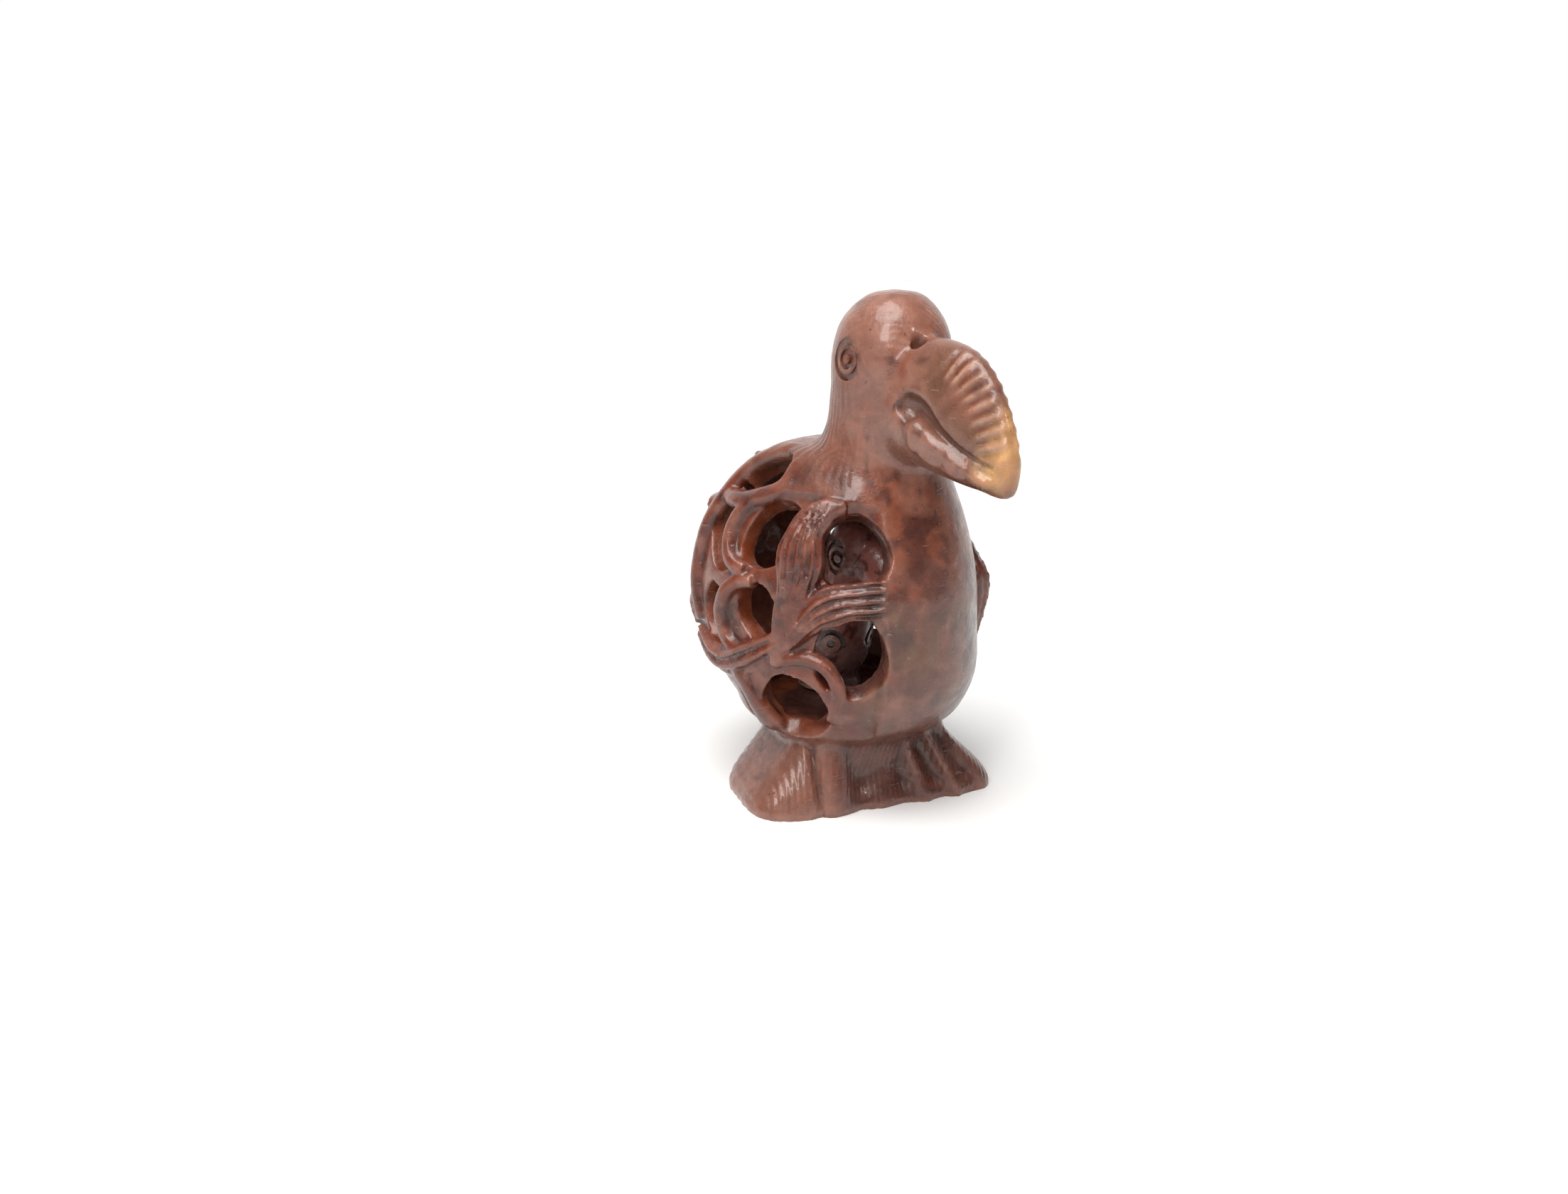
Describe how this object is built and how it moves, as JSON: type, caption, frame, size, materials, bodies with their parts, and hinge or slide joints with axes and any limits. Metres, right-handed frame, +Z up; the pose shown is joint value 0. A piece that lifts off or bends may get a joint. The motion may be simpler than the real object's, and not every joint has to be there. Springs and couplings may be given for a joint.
{
  "type": "dodo sculpture",
  "caption": "Small carved stone dodo with a fluted hooked beak, an openwork body of leaves and holes, a flared base and a loose chick inside.",
  "frame": {"origin": "middle of the base's underside, on the plane that it stands on", "axes": "+Z up, the bird faces -Y, its right side is -X"},
  "size_m": [0.0412, 0.0604, 0.0725],
  "materials": {
    "dodo_stone": "waxed and polished, mottled reddish brown and mauve",
    "chick_stone": "polished, dark maroon grey"
  },
  "bodies": {
    "root": {"dodo": "dodo_stone", "chick": "chick_stone"}
  },
  "joints": []
}
